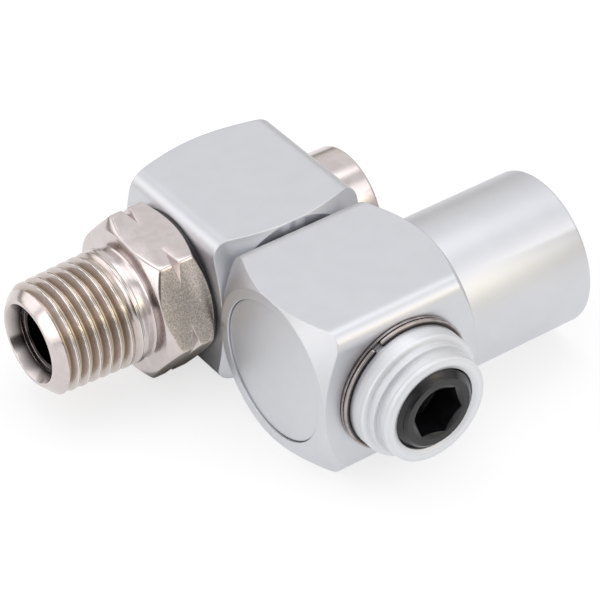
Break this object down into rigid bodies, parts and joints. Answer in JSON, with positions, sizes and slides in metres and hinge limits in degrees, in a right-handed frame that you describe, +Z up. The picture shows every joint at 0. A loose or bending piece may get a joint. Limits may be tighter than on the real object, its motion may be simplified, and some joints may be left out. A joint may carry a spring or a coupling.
{
  "type": "swivel connector",
  "caption": "Two-axis swivel connector: a square block with a tapped outlet tube turns on a spindle with a flow screw, and a hollow cross pin carries a taper-threaded male adaptor.",
  "frame": {"origin": "centre of the outlet port's mouth", "axes": "+X leaves the outlet port along the outlet tube; +Y runs along the swivel axis from the outlet block to the inlet block; +Z up, away from the flat faces that the part lies on"},
  "size_m": [0.0545, 0.045, 0.019],
  "materials": {
    "anodised_aluminium": "clear anodised, satin",
    "nickel_plated_steel": "turned and nickel plated",
    "spring_steel": "bright spring steel",
    "blackened_steel": "black oxide",
    "nitrile_rubber": "smooth",
    "backup_plastic": "turned",
    "black_washer_plastic": "moulded"
  },
  "bodies": {
    "outlet_body": {"outlet_block": "anodised_aluminium", "end_disc": "anodised_aluminium"},
    "inlet_body": {"inlet_block": "anodised_aluminium", "pivot_thrust_washer": "black_washer_plastic", "pivot_ring_washer": "spring_steel", "pivot_snap_ring": "spring_steel", "pivot_inner_o_ring": "nitrile_rubber", "pivot_inner_backup_ring": "backup_plastic", "pivot_outer_o_ring": "nitrile_rubber", "pivot_outer_backup_ring": "backup_plastic"},
    "pin_body": {"swivel_pin": "nickel_plated_steel", "male_adaptor": "nickel_plated_steel", "adaptor_o_ring": "nitrile_rubber", "pin_front_washer": "black_washer_plastic", "pin_rear_washer": "black_washer_plastic", "pin_front_o_ring": "nitrile_rubber", "pin_front_backup_ring": "backup_plastic", "pin_rear_o_ring": "nitrile_rubber", "pin_rear_backup_ring": "backup_plastic"},
    "screw_seal_body": {"flow_screw_o_ring": "nitrile_rubber"},
    "screw_body": {"flow_screw": "blackened_steel"}
  },
  "joints": [
    {"name": "block_swivel", "type": "hinge", "parent": "outlet_body", "child": "inlet_body", "pos_m": [-0.0263, 0, 0], "axis": [0, 1, 0], "continuous": true},
    {"name": "pin_swivel", "type": "hinge", "parent": "inlet_body", "child": "pin_body", "pos_m": [-0.0263, 0.01945, 0], "axis": [1, 0, 0], "continuous": true},
    {"name": "screw_travel", "type": "slide", "parent": "inlet_body", "child": "screw_seal_body", "axis": [0, 1, 0], "range_m": [0, 0.003]},
    {"name": "screw_turn", "type": "hinge", "parent": "screw_seal_body", "child": "screw_body", "pos_m": [-0.0263, 0, 0], "axis": [0, 1, 0], "range_deg": [0, 1080]}
  ],
  "couplings": [
    {"joint": "screw_turn", "follows": "screw_travel", "rad_per_m": 6283.2}
  ]
}
